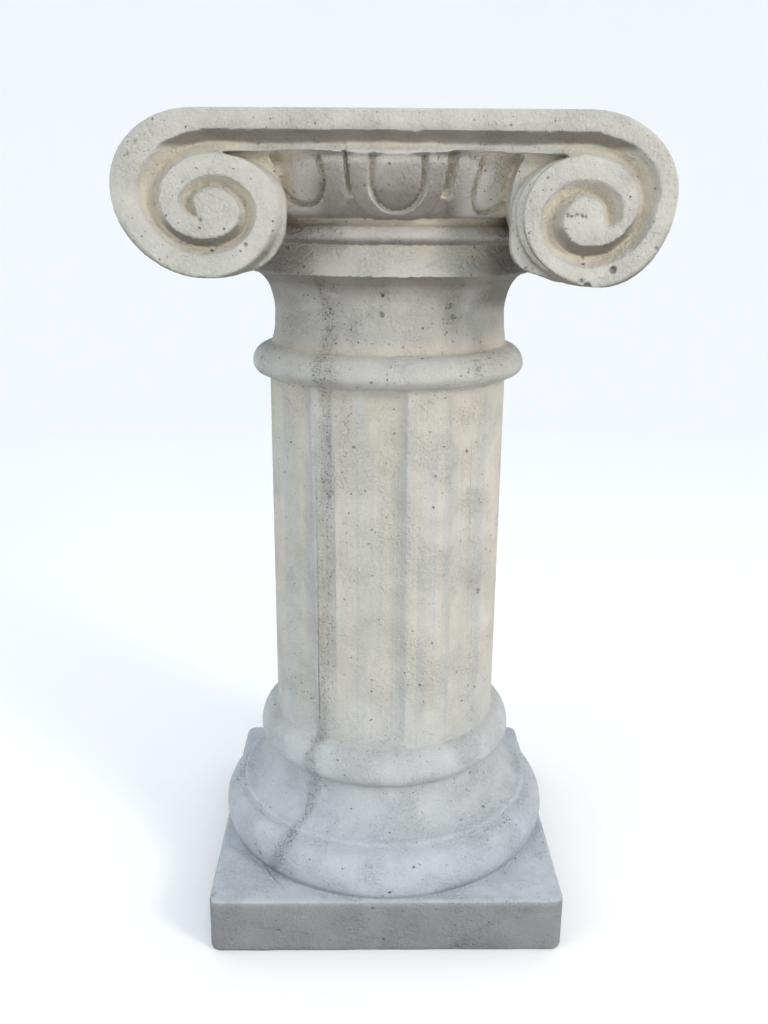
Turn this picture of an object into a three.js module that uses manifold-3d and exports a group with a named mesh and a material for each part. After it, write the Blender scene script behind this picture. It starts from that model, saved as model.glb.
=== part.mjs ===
// Cast stone garden pedestal: a short fluted Ionic column on a square plinth, poured as one piece.
// Millimetres, +Z up, front towards -Y, origin on the column's axis at the underside.

import * as THREE from 'three';
import { mergeVertices } from 'three/addons/utils/BufferGeometryUtils.js';
import Module from 'manifold-3d';

const wasm = await Module();
wasm.setup();

// Plinth
const plinthWidth = 314;
const plinthHeight = 52;
const plinthCorner = 10;
const plinthEdge = 3.5;
const plinthTurn = 1.2;

// Attic base, from the plinth up: lower torus, fillet, scotia, upper torus
const lowerTorusHeight = 38.5;
const lowerTorusRadius = 158;
const lowerTorusFoot = 151;
const filletHeight = 7.5;
const filletRadius = 140;
const filletLedge = 2;
const scotiaHeight = 39;
const scotiaRadius = 112;
const upperTorusHeight = 36;
const upperTorusRadius = 121.4;
const torusBulgeShare = 0.4;

// Shaft and its flutes
const shaftHeight = 321;
const shaftRadius = 105.5;
const fluteCount = 8;
const fluteAngle = 21.5;
const fluteDepth = 8.5;
const fluteTurn = -2;
const fluteFootRise = 4;
const fluteHeadGap = 1.5;

// Astragal and necking
const astragalHeight = 28;
const astragalRadius = 120.3;
const neckHeight = 62.5;
const neckRadius = 101;
const neckNarrowShare = 0.42;
const lipRadius = 126;
const lipEdge = 1.5;

// Band over the lip, bead and the hollow over the bead
const lipBandHeight = 22.5;
const lipBandFoot = 118;
const lipBandHead = 112;
const beadHeight = 15;
const beadRadius = 118;
const hollowHeight = 4;
const hollowRadius = 112;

// Echinus, leaning out over the neck, with three eggs on the front and three on the back
const echinusHeight = 49;
const echinusFootRadius = 118;
const echinusTopRadius = 149;
const echinusLip = 10;
const echinusFullness = 0.5;
const eggCarvingDepth = 5.5;
const eggGrooveWidth = 4.5;
const eggTurn = 3;
const eggPitch = 31.3;
const middleShellWidth = 71;
const sideShellWidth = 81;
const shellCorner = 24;
const middleEggWidth = 36;
const sideEggWidth = 39;
const eggLift = 8;
const dartWidth = 12;
const dartHeight = 15;
const carvedReach = 95;
const plainFlank = 96;

// Canalis and abacus
const canalisHeight = 8.3;
const canalisOverhang = 4.5;
const abacusHeight = 16.7;
const capitalDepth = 314;
const plateThickness = 24;
const plateEdge = 4;
const channelDepth = 10;

// Volutes: each is drawn inward from its outer edge and down from the top of the abacus.
// A rim passes through its turning points, top, outside, bottom, inside and so on, on quarter ellipses,
// and the channel runs between an outer and an inner spiral of the same kind.
const leftVolute = {
    side: -1,
    edge: 199.1,
    rim: [[61, 0], [0, 54], [68.4, 116.8], [125, 65], [77, 30.6]],
    outer: [[77.6, abacusHeight], [20, 56.3], [67, 100.3], [104.4, 72.5], [76, 45.5], [50, 63], [68, 75]],
    inner: [[77, 30.6], [35.4, 60], [67.4, 89.9], [92.4, 70.6], [73.9, 54.5], [60.1, 62.7], [68, 75]],
};
const rightVolute = {
    side: 1,
    edge: 205.7,
    rim: [[66.5, 0], [0, 55.3], [51.8, 121], [121, 71.1], [70.7, 30.6]],
    outer: [[71, abacusHeight], [14.3, 53.4], [60.7, 107.2], [97.7, 75.7], [68, 46], [39, 68], [49.5, 78.5]],
    inner: [[70.7, 30.6], [29, 60.2], [60.2, 92.6], [82, 75.6], [67, 59.2], [52.5, 70.6], [49.5, 78.5]],
};
const canalisTurnOut = 112;

// Bolsters that join the front and back volutes
const bolsterEndRadius = 57;
const bolsterWaistRadius = 45;
const bolsterFlare = 95;
const bolsterBandWidth = 34;
const bolsterBandRise = 2.5;

const stoneColour = 0xcfc9bb;

// How far neighbouring forms run into each other before they are joined
const overlap = 4;

const roundSegments = 36;
const bolsterSegments = 20;
const arcSteps = 5;
const channelSteps = 4;
const eggArcSteps = 4;

// Heights above the ground, stacked from the sizes above
const lowerTorusTop = plinthHeight + lowerTorusHeight;
const filletTop = lowerTorusTop + filletHeight;
const scotiaTop = filletTop + scotiaHeight;
const upperTorusTop = scotiaTop + upperTorusHeight;
const shaftTop = upperTorusTop + shaftHeight;
const astragalTop = shaftTop + astragalHeight;
const neckTop = astragalTop + neckHeight;
const lipBandTop = neckTop + lipBandHeight;
const beadTop = lipBandTop + beadHeight;
const echinusFoot = beadTop + hollowHeight;
const echinusTop = echinusFoot + echinusHeight;
const canalisTop = echinusTop + canalisHeight;
const overallHeight = canalisTop + abacusHeight;
const canalisFoot = echinusTop - canalisOverhang;
const faceDepth = capitalDepth / 2;
const slabLeft = -(leftVolute.edge - leftVolute.rim[0][0]);
const slabRight = rightVolute.edge - rightVolute.rim[0][0];

const degrees = THREE.MathUtils.degToRad;

// A closed solid from a geometry, turned right side out where its winding is inward
function solid(geometry) {
    const bare = geometry.clone();
    bare.deleteAttribute('normal');
    bare.deleteAttribute('uv');
    const merged = mergeVertices(bare, 1e-4);
    const places = merged.attributes.position.array;
    const corner = (i) => new THREE.Vector3().fromArray(places, i * 3);
    const triangles = [];
    let volume = 0;
    for (let i = 0; i < merged.index.count; i += 3) {
        const [a, b, c] = [merged.index.getX(i), merged.index.getX(i + 1), merged.index.getX(i + 2)];
        if (a === b || b === c || c === a) continue;
        triangles.push([a, b, c]);
        volume += corner(a).dot(corner(b).cross(corner(c)));
    }
    const outward = volume < 0 ? triangles.map(([a, b, c]) => [a, c, b]) : triangles;
    return new wasm.Manifold(new wasm.Mesh({
        numProp: 3,
        vertProperties: new Float32Array(places),
        triVerts: new Uint32Array(outward.flat()),
    }));
}

function joined(solids) {
    return solids.reduce((whole, next) => whole.add(next));
}

// Points on part of an ellipse, angles in degrees from the +X direction
function arc(centreX, centreY, radiusX, radiusY, from, to, steps = arcSteps) {
    const points = [];
    for (let i = 0; i <= steps; i++) {
        const angle = degrees(from + (to - from) * i / steps);
        points.push(point(centreX + radiusX * Math.cos(angle), centreY + radiusY * Math.sin(angle)));
    }
    return points;
}

function point(x, y) {
    return new THREE.Vector2(x, y);
}

// A solid of revolution about the column's axis, from points of radius and height
function turned(profile) {
    return solid(new THREE.LatheGeometry(profile, roundSegments).rotateX(Math.PI / 2));
}

// A front view outline of width and height, carried in depth from one distance before the axis to another
function carried(shape, near, far, options = {}) {
    const geometry = new THREE.ExtrudeGeometry(shape, {
        depth: far - near, bevelEnabled: false, ...options,
    });
    return geometry.translate(0, 0, near).rotateX(Math.PI / 2);
}

// Square plinth with rounded corners and worn edges
function plinth() {
    const half = plinthWidth / 2;
    const flat = half - plinthCorner;
    const shape = new THREE.Shape();
    shape.moveTo(-flat, -half);
    shape.absarc(flat, -flat, plinthCorner, -Math.PI / 2, 0);
    shape.absarc(flat, flat, plinthCorner, 0, Math.PI / 2);
    shape.absarc(-flat, flat, plinthCorner, Math.PI / 2, Math.PI);
    shape.absarc(-flat, -flat, plinthCorner, Math.PI, Math.PI * 1.5);
    const block = new THREE.ExtrudeGeometry(shape, {
        depth: plinthHeight - 2 * plinthEdge,
        bevelThickness: plinthEdge,
        bevelSize: plinthEdge,
        bevelOffset: -plinthEdge,
        bevelSegments: 1,
        curveSegments: 4,
    });
    return solid(block.translate(0, 0, plinthEdge).rotateZ(degrees(plinthTurn)));
}

// Attic base: two tori with a fillet and a scotia between them
function base() {
    const sink = plinthHeight / 2;
    const torusMiddle = plinthHeight + lowerTorusHeight * torusBulgeShare;
    const torusFootRun = lowerTorusRadius - lowerTorusFoot;
    const torusHeadRun = lowerTorusRadius - filletRadius;
    const scotiaRun = filletRadius - filletLedge - scotiaRadius;
    const upperMiddle = scotiaTop + upperTorusHeight * torusBulgeShare;
    const upperRun = upperTorusRadius - shaftRadius;
    return turned([
        point(0, sink),
        point(lowerTorusFoot, sink),
        ...arc(lowerTorusFoot, torusMiddle, torusFootRun, torusMiddle - plinthHeight, -90, 0, 3),
        ...arc(filletRadius, torusMiddle, torusHeadRun, lowerTorusTop - torusMiddle, 0, 90, 4).slice(1),
        point(filletRadius, filletTop - filletLedge),
        ...arc(filletRadius - filletLedge, scotiaTop, scotiaRun, scotiaHeight, 270, 180, 4),
        ...arc(shaftRadius, upperMiddle, upperRun, upperMiddle - scotiaTop, -58, 0, 2),
        ...arc(shaftRadius - 1, upperMiddle, upperRun + 1, upperTorusTop - upperMiddle, 0, 90, 4).slice(1),
        point(shaftRadius, upperTorusTop),
        point(0, upperTorusTop),
    ]);
}

// Shaft with shallow round flutes that stop on a small sloping ledge at the foot
function shaft() {
    const half = degrees(fluteAngle / 2);
    const halfChord = shaftRadius * Math.sin(half);
    const chordDepth = fluteDepth - shaftRadius * (1 - Math.cos(half));
    const cutterRadius = (halfChord ** 2 + chordDepth ** 2) / (2 * chordDepth);
    const cutterDistance = shaftRadius - fluteDepth + cutterRadius;
    const foot = upperTorusTop + fluteFootRise;
    const head = shaftTop - fluteHeadGap;
    let whole = turned([
        point(0, upperTorusTop - overlap),
        point(shaftRadius, upperTorusTop - overlap),
        point(shaftRadius, shaftTop + overlap),
        point(0, shaftTop + overlap),
    ]);
    const cutterProfile = [
        point(0, foot),
        point(cutterRadius - fluteDepth, foot),
        point(cutterRadius, foot + fluteDepth * 0.7),
        point(cutterRadius, head - fluteDepth * 0.3),
        point(cutterRadius - fluteDepth, head),
        point(0, head),
    ];
    for (let i = 0; i < fluteCount; i++) {
        const cutter = new THREE.LatheGeometry(cutterProfile, 30).rotateX(Math.PI / 2);
        cutter.translate(0, -cutterDistance, 0).rotateZ(degrees(fluteTurn + 360 * i / fluteCount));
        whole = whole.subtract(solid(cutter));
    }
    return whole;
}

// Astragal, hollow neck, lip with its band, bead, and the hollow under the eggs
function necking() {
    const ringMiddle = shaftTop + astragalHeight * torusBulgeShare;
    const ringFootRun = astragalRadius - shaftRadius;
    const ringHeadRadius = neckRadius + 3;
    const ringHeadRun = astragalRadius - ringHeadRadius;
    const neckMiddle = astragalTop + neckHeight * neckNarrowShare;
    const neckRise = neckTop - neckMiddle - lipEdge;
    const beadMiddle = lipBandTop + beadHeight / 2;
    return turned([
        point(0, shaftTop - overlap),
        point(shaftRadius, shaftTop - overlap),
        ...arc(shaftRadius, ringMiddle, ringFootRun, ringMiddle - shaftTop, -90, 0, 3),
        ...arc(ringHeadRadius, ringMiddle, ringHeadRun, astragalTop - ringMiddle, 0, 90, 4).slice(1),
        point(neckRadius + 0.4, (astragalTop + neckMiddle) / 2),
        ...arc(lipRadius, neckMiddle, lipRadius - neckRadius, neckRise, 180, 90, 5),
        point(lipRadius, neckTop),
        point(lipBandFoot, neckTop + lipEdge * 2),
        point((lipBandFoot + lipBandHead) / 2, neckTop + lipBandHeight * 0.4),
        point(lipBandHead, lipBandTop),
        ...arc(lipBandHead, beadMiddle, beadRadius - lipBandHead, beadHeight / 2, -90, 90, 4).slice(1),
        point(hollowRadius, beadTop + 1),
        point(hollowRadius, echinusFoot + overlap),
        point(0, echinusFoot + overlap),
    ]);
}

// The egg band's section, between a straight slope and a quarter round, sunk by a distance where
// carving bottoms out
function ovolo(sunk) {
    const middle = echinusTop - echinusLip;
    const footRadius = echinusFootRadius - sunk;
    const foot = echinusFoot + sunk * 0.5;
    const run = echinusTopRadius - echinusFootRadius;
    const round = arc(footRadius, middle, run, middle - foot, -90, 0, 5);
    const swell = round.map((spot) => {
        const straight = footRadius + run * (spot.y - foot) / (middle - foot);
        return point(straight + (spot.x - straight) * echinusFullness, spot.y);
    });
    return turned([
        point(0, foot),
        ...swell,
        point(echinusTopRadius - sunk, echinusTop),
        point(0, echinusTop),
    ]);
}

// Points down, round and up a flat-topped U with round bottom corners
function cupPoints(halfWidth, bottom, corner) {
    const over = echinusTop + 5;
    const middle = halfWidth - corner;
    return [
        point(-halfWidth, over),
        ...arc(-middle, bottom + corner, corner, corner, 180, 270, eggArcSteps),
        ...arc(middle, bottom + corner, corner, corner, 270, 360, eggArcSteps),
        point(halfWidth, over),
    ];
}

function dartPoints() {
    const tip = echinusFoot + 1;
    return [
        point(0, tip),
        point(dartWidth / 2, tip + dartHeight / 2),
        point(2, tip + dartHeight),
        point(-2, tip + dartHeight),
        point(-dartWidth / 2, tip + dartHeight / 2),
    ];
}

// Egg band: shells stand proud of a sunk core, each with a groove around its egg, and darts between
// them. The flanks under the bolsters are plain.
function echinus() {
    const inside = echinusFootRadius * 0.6;
    const outside = echinusTopRadius + overlap;
    const face = ovolo(0);
    const carved = [];
    const raise = (points, turn) => {
        const prism = carried(new THREE.Shape(points), inside, outside).rotateZ(degrees(turn));
        const raised = solid(prism).intersect(face);
        carved.push(raised, raised.mirror([0, 1, 0]));
    };
    const eggBottom = echinusFoot + eggLift;
    const around = eggGrooveWidth;
    for (const place of [-1, 0, 1]) {
        const turn = eggTurn + eggPitch * place;
        const shellWidth = place === 0 ? middleShellWidth : sideShellWidth;
        const eggHalf = (place === 0 ? middleEggWidth : sideEggWidth) / 2;
        const eggCorner = eggHalf * 0.86;
        const shell = cupPoints(shellWidth / 2, echinusFoot - 2, shellCorner);
        const pocket = cupPoints(eggHalf + around, eggBottom - around, eggCorner + around);
        raise([...shell, ...pocket.reverse()], turn);
        raise(cupPoints(eggHalf, eggBottom, eggCorner), turn);
    }
    raise(dartPoints(), eggTurn - eggPitch / 2);
    raise(dartPoints(), eggTurn + eggPitch / 2);
    const zone = new THREE.BoxGeometry(carvedReach * 2, capitalDepth, echinusHeight * 4);
    const front = solid(zone.translate(0, -plainFlank - capitalDepth / 2, echinusTop));
    const plainSides = face.subtract(front).subtract(front.mirror([0, 1, 0]));
    return joined([ovolo(eggCarvingDepth), ...carved, plainSides]);
}

// A point of a volute in front view, from its distance in from the outer edge and down from the top
function voluteAt(volute, [inward, down]) {
    return point(volute.side * (volute.edge - inward), overallHeight - down);
}

// Points on the quarter ellipses through a run of turning points, the first of which is a top
function throughTurns(turns, steps) {
    const points = [turns[0].clone()];
    for (let i = 0; i + 1 < turns.length; i++) {
        const [from, to] = [turns[i], turns[i + 1]];
        for (let k = 1; k <= steps; k++) {
            const angle = Math.PI / 2 * k / steps;
            const [rise, fade] = [Math.sin(angle), 1 - Math.cos(angle)];
            const [across, along] = i % 2 === 0 ? [rise, fade] : [fade, rise];
            points.push(point(from.x + (to.x - from.x) * across, from.y + (to.y - from.y) * along));
        }
    }
    return points;
}

// Front view of the capital: both volutes, the abacus and the floor of the canalis between them
function capitalShape() {
    const half = (volute) => {
        const rim = throughTurns(volute.rim.map((turn) => voluteAt(volute, turn)), arcSteps);
        return [...rim, point(volute.side * canalisTurnOut, canalisFoot)];
    };
    return new THREE.Shape([...half(leftVolute), ...half(rightVolute).reverse()]);
}

// The concave channel of a volute and its half of the canalis: a straight channel section bent
// around the spiral
function channel(volute) {
    const outer = throughTurns(volute.outer.map((turn) => voluteAt(volute, turn)), channelSteps);
    const inner = throughTurns(volute.inner.map((turn) => voluteAt(volute, turn)), channelSteps);
    const canalisEnd = volute.side * canalisTurnOut * 0.9;
    const coveFoot = canalisTop - canalisHeight * 2;
    outer.unshift(point(-volute.side, canalisTop), point(canalisEnd, canalisTop));
    inner.unshift(point(-volute.side, coveFoot), point(canalisEnd, coveFoot));
    const last = outer.length - 1;
    const tip = last * 0.9;
    const section = new THREE.Shape([
        point(0, plateEdge), point(0, 0), ...arc(0.5, 0, 0.5, -channelDepth, 180, 0, 4).slice(1, -1),
        point(1, 0), point(1, plateEdge),
    ]);
    const geometry = new THREE.ExtrudeGeometry(section, { depth: last, steps: last, bevelEnabled: false });
    const places = geometry.attributes.position;
    for (let i = 0; i < places.count; i++) {
        const [share, height, step] = [places.getX(i), places.getY(i), Math.round(places.getZ(i))];
        const narrow = 1 - 0.9 * Math.max(0, step - tip) / (last - tip);
        const spot = outer[step].clone().lerp(inner[step], 0.5 + (share - 0.5) * narrow);
        const shallow = height < 0 ? height * Math.min(1, (last - step) / 6) : height;
        places.setXYZ(i, spot.x, -faceDepth - shallow, spot.y);
    }
    return solid(geometry);
}

// Waisted bolster, flared at both ends, with a band round its middle, lying along the capital's depth
function bolster(volute) {
    const end = faceDepth - plateThickness / 2;
    const band = bolsterBandWidth / 2;
    const radiusAt = (y) => {
        const share = Math.min(1, Math.max(0, (y - band) / (bolsterFlare - band)));
        return bolsterWaistRadius + (bolsterEndRadius - bolsterWaistRadius) * share ** 1.6;
    };
    const half = [
        point(bolsterWaistRadius + bolsterBandRise, band - 2),
        point(bolsterWaistRadius, band),
        point(radiusAt(bolsterFlare * 0.5), bolsterFlare * 0.5),
        point(radiusAt(bolsterFlare * 0.75), bolsterFlare * 0.75),
        point(bolsterEndRadius, bolsterFlare),
        point(bolsterEndRadius, end),
        point(0, end),
    ];
    const profile = [...half.map((spot) => point(spot.x, -spot.y)).reverse(), ...half];
    const middle = voluteAt(volute, [volute.rim[3][0] / 2, volute.rim[2][1] / 2]);
    return solid(new THREE.LatheGeometry(profile, bolsterSegments).translate(middle.x, 0, middle.y));
}

// Capital over the eggs: abacus slab on its bed, volute plates front and back, channels and bolsters
function capital() {
    const slabWidth = slabRight - slabLeft;
    const slabMiddle = (slabLeft + slabRight) / 2;
    const slab = new THREE.BoxGeometry(slabWidth, capitalDepth - plateThickness, abacusHeight);
    slab.translate(slabMiddle, 0, overallHeight - abacusHeight / 2);
    const bedHeight = canalisTop - canalisFoot + overlap;
    const bed = new THREE.BoxGeometry(slabWidth, capitalDepth - plateThickness, bedHeight);
    bed.translate(slabMiddle, 0, canalisFoot + bedHeight / 2);
    const plate = carried(capitalShape(), faceDepth - plateThickness + plateEdge, faceDepth - plateEdge, {
        bevelEnabled: true,
        bevelThickness: plateEdge,
        bevelSize: plateEdge,
        bevelOffset: -plateEdge,
        bevelSegments: 1,
    });
    const bolsters = [bolster(leftVolute), bolster(rightVolute)];
    const front = solid(plate);
    let whole = joined([solid(slab), solid(bed), ...bolsters, front, front.mirror([0, 1, 0])]);
    for (const volute of [leftVolute, rightVolute]) {
        const groove = channel(volute);
        whole = whole.subtract(groove).subtract(groove.mirror([0, 1, 0]));
    }
    return whole;
}

function meshOf(whole, name, material) {
    const { vertProperties, triVerts, numProp } = whole.getMesh();
    const geometry = new THREE.BufferGeometry();
    const places = new Float32Array(vertProperties.length / numProp * 3);
    for (let i = 0; i < places.length / 3; i++) {
        places.set(vertProperties.subarray(i * numProp, i * numProp + 3), i * 3);
    }
    geometry.setAttribute('position', new THREE.BufferAttribute(places, 3));
    geometry.setIndex(new THREE.BufferAttribute(new Uint32Array(triVerts), 1));
    geometry.computeVertexNormals();
    const mesh = new THREE.Mesh(geometry, material);
    mesh.name = name;
    return mesh;
}

const castStone = new THREE.MeshStandardMaterial({ color: stoneColour, roughness: 0.95, metalness: 0 });
const pedestal = new THREE.Group();
const column = joined([plinth(), base(), shaft(), necking(), echinus(), capital()]);
pedestal.add(meshOf(column, 'ionic_pedestal', castStone));

export default pedestal;
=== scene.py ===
# A short fluted Ionic pedestal, cast in one piece in pale sandy cement.
# Sizes are in millimetres in here and become metres when the mesh is made.
import math

import bpy
import numpy as np
import openvdb as vdb
from mathutils import Euler, Matrix, Vector


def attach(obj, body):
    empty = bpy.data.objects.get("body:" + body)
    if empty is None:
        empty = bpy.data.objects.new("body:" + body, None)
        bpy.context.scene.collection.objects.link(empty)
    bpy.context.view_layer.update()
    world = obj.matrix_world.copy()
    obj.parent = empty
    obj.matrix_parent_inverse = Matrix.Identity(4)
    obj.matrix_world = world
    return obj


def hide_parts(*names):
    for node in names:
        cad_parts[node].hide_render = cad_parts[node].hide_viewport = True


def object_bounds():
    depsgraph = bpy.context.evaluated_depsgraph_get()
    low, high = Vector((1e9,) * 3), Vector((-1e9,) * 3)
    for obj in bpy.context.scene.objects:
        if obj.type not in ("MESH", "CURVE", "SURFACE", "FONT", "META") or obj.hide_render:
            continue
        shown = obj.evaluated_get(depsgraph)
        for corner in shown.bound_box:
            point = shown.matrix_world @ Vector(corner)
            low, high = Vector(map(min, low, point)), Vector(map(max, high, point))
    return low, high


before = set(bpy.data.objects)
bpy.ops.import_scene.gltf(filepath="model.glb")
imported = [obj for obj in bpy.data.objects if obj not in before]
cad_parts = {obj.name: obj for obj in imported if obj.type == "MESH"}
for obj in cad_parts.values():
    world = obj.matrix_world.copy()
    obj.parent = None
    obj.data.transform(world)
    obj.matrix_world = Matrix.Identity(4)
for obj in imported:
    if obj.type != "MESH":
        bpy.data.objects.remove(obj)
cadLow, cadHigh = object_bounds()
print("frame loaded, CAD box", [round(v, 4) for v in (*cadLow, *cadHigh)])

mm = 0.001
casting = {
    "grid": 1.5,
    "margin": 5.0,
    "triangles": 194000,
    "fineWeight": 0.5,  # the carved front keeps smaller triangles
    "fineFactor": 1e-6,
    "crease": 1.5,  # how softly neighbouring mouldings run into each other
}


# Camera at the photo's viewing angle
view = {
    "place": (0, -888, 625),
    "pitch": 16.5,
    "roll": 0.47,
    "yaw": 0.15,
    "focalPixels": 985,
    "imageHeight": 1024,
    "film": 36,
}


def makeCamera():
    data = bpy.data.cameras.new("camera")
    data.sensor_fit = "VERTICAL"
    data.sensor_height = view["film"]
    data.sensor_width = view["film"]
    data.lens = view["film"] * view["focalPixels"] / view["imageHeight"]
    camera = bpy.data.objects.new("camera", data)
    turn = Euler((math.radians(90 - view["pitch"]), 0, math.radians(view["yaw"])))
    roll = Matrix.Rotation(math.radians(view["roll"]), 4, "Z")
    camera.matrix_world = Matrix.Translation(Vector(view["place"]) * mm) @ turn.to_matrix().to_4x4() @ roll
    bpy.context.scene.collection.objects.link(camera)
    bpy.context.scene.camera = camera


# Helpers for signed distances: below zero inside the stone
def blend(a, b, k):
    share = np.clip(0.5 + 0.5 * (b - a) / k, 0, 1)
    return b + (a - b) * share - k * share * (1 - share)


def roundMax(a, b, edge):
    # both, with a round outer edge of that radius
    outside = np.hypot(np.maximum(a + edge, 0), np.maximum(b + edge, 0))
    return outside + np.minimum(np.maximum(a, b) + edge, 0) - edge


def ramp(value, low, high):
    share = np.clip((value - low) / (high - low), 0, 1)
    return share * share * (3 - 2 * share)


def arc(centreX, centreY, radiusX, radiusY, start, end, steps=14):
    angles = np.radians(np.linspace(start, end, steps + 1))
    return [(centreX + radiusX * math.cos(a), centreY + radiusY * math.sin(a)) for a in angles]


def outlineDistance(outline, x, y):
    nearest = np.full(np.broadcast(x, y).shape, 1e12)
    inside = np.zeros(nearest.shape, bool)
    for (ax, ay), (bx, by) in zip(outline, outline[1:] + outline[:1]):
        ex, ey = bx - ax, by - ay
        length = ex * ex + ey * ey
        if length < 1e-9:
            continue
        along = np.clip(((x - ax) * ex + (y - ay) * ey) / length, 0, 1)
        nearest = np.minimum(nearest, (x - ax - ex * along) ** 2 + (y - ay - ey * along) ** 2)
        if abs(ey) > 1e-9:
            inside ^= ((ay > y) != (by > y)) & (x < ax + (y - ay) * ex / ey)
    return np.where(inside, -np.sqrt(nearest), np.sqrt(nearest))


# Smooth random field: a lattice of seeded values, blended between its points
lattice = {"size": 32, "offset": 1000}


def softNoise(points, wavelength, seed):
    size = lattice["size"]
    values = np.random.default_rng(seed).uniform(-1, 1, (size, size, size))
    place = points / wavelength + lattice["offset"]
    corner = np.floor(place).astype(int)
    share = place - corner
    share = share * share * (3 - 2 * share)
    total = 0
    for ox in (0, 1):
        for oy in (0, 1):
            for oz in (0, 1):
                weight = (share[:, 0] if ox else 1 - share[:, 0])
                weight = weight * (share[:, 1] if oy else 1 - share[:, 1])
                weight = weight * (share[:, 2] if oz else 1 - share[:, 2])
                index = (corner + (ox, oy, oz)) % size
                total = total + weight * values[index[:, 0], index[:, 1], index[:, 2]]
    return total


# Square plinth
plinth = {"half": 157, "height": 52, "corner": 10, "edge": 3.5, "turn": 1.2}


def plinthDistance(x, y, z):
    turn = math.radians(plinth["turn"])
    acrossX = np.abs(x * math.cos(turn) + y * math.sin(turn)) - plinth["half"] + plinth["corner"]
    acrossY = np.abs(y * math.cos(turn) - x * math.sin(turn)) - plinth["half"] + plinth["corner"]
    side = np.hypot(np.maximum(acrossX, 0), np.maximum(acrossY, 0))
    side = side + np.minimum(np.maximum(acrossX, acrossY), 0) - plinth["corner"]
    middle = plinth["height"] / 2
    return roundMax(side, abs(z - middle) - middle + 0 * side, plinth["edge"])


# Turned mouldings, from points of radius and height
mouldings = {
    "lowerTorusTop": 90.5,
    "lowerTorusRadius": 158,
    "lowerTorusFoot": 151,
    "filletRadius": 140,
    "filletTop": 98,
    "scotiaTop": 137,
    "scotiaRadius": 112,
    "upperTorusTop": 173,
    "upperTorusRadius": 121.4,
    "astragalFoot": 494,
    "astragalTop": 522,
    "astragalRadius": 120.3,
    "neckRadius": 101,
    "lipHeight": 584.5,
    "lipRadius": 119.5,
    "neckShift": 1.3,  # the neck was cast a little off the middle
    "bandTop": 607,
    "bandFootRadius": 118,
    "bandHeadRadius": 112,
    "beadTop": 622,
    "beadRadius": 118,
    "bulge": 0.4,
}
shaft = {
    "radius": 105.5,
    "foot": 173,
    "head": 494,
    "depth": 8.5,
    "footLedge": 4.5,
    "headGap": -5,
    # the three flutes in front: left and right arris in degrees from the front, at the top and at the foot
    "frontFlutes": [
        ((-57.1, -37.7), (-58.2, -35.1)),
        ((-11.3, 9.1), (-12.3, 9.5)),
        ((28.6, 53.0), (31.5, 52.7)),
    ],
    "otherFlutes": [88, 133, 178, 223, 268],
    "otherWidth": 21.5,
}


def baseOutline():
    m = mouldings
    lower = plinth["height"] + (m["lowerTorusTop"] - plinth["height"]) * m["bulge"]
    upper = m["scotiaTop"] + (m["upperTorusTop"] - m["scotiaTop"]) * m["bulge"]
    ledge = m["filletRadius"] - 2
    bulge = m["upperTorusRadius"] - shaft["radius"]
    points = [(0, plinth["height"] - 20), (m["lowerTorusFoot"], plinth["height"] - 20)]
    points += arc(m["lowerTorusFoot"], lower, m["lowerTorusRadius"] - m["lowerTorusFoot"],
                  lower - plinth["height"], -90, 0)
    points += arc(m["filletRadius"], lower, m["lowerTorusRadius"] - m["filletRadius"],
                  m["lowerTorusTop"] - lower, 0, 90)
    points += [(m["filletRadius"], m["filletTop"] - 2)]
    points += arc(ledge, m["scotiaTop"], ledge - m["scotiaRadius"], m["scotiaTop"] - m["filletTop"], 270, 180)
    points += arc(shaft["radius"], upper, bulge, upper - m["scotiaTop"], -58, 0)
    points += arc(shaft["radius"], upper, bulge, m["upperTorusTop"] - upper, 0, 90)
    return points + [(0, m["upperTorusTop"])]


def neckOutline():
    m = mouldings
    ring = m["astragalFoot"] + (m["astragalTop"] - m["astragalFoot"]) * m["bulge"]
    neckFoot = m["neckRadius"] + 3
    narrow = m["astragalTop"] + (m["lipHeight"] - m["astragalTop"]) * 0.42
    bead = (m["bandTop"] + m["beadTop"]) / 2
    points = [(0, m["astragalFoot"] + 1.5), (shaft["radius"] - 4, m["astragalFoot"] + 1)]
    points += arc(shaft["radius"], ring, m["astragalRadius"] - shaft["radius"],
                  ring - m["astragalFoot"], -90, 0)
    points += arc(neckFoot, ring, m["astragalRadius"] - neckFoot, m["astragalTop"] - ring, 0, 90)
    points += [(m["neckRadius"] + 0.4, (m["astragalTop"] + narrow) / 2)]
    points += arc(m["lipRadius"], narrow, m["lipRadius"] - m["neckRadius"],
                  m["lipHeight"] - 1.5 - narrow, 180, 90)
    points += [(m["lipRadius"], m["lipHeight"]), (m["bandFootRadius"], m["lipHeight"] + 3)]
    points += [((m["bandFootRadius"] + m["bandHeadRadius"]) / 2, m["lipHeight"] + 9)]
    points += [(m["bandHeadRadius"], m["bandTop"])]
    points += arc(m["bandHeadRadius"], bead, m["beadRadius"] - m["bandHeadRadius"],
                  m["beadTop"] - bead, -90, 90)
    return points + [(m["bandHeadRadius"], m["beadTop"] + 8), (0, m["beadTop"] + 8)]


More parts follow.
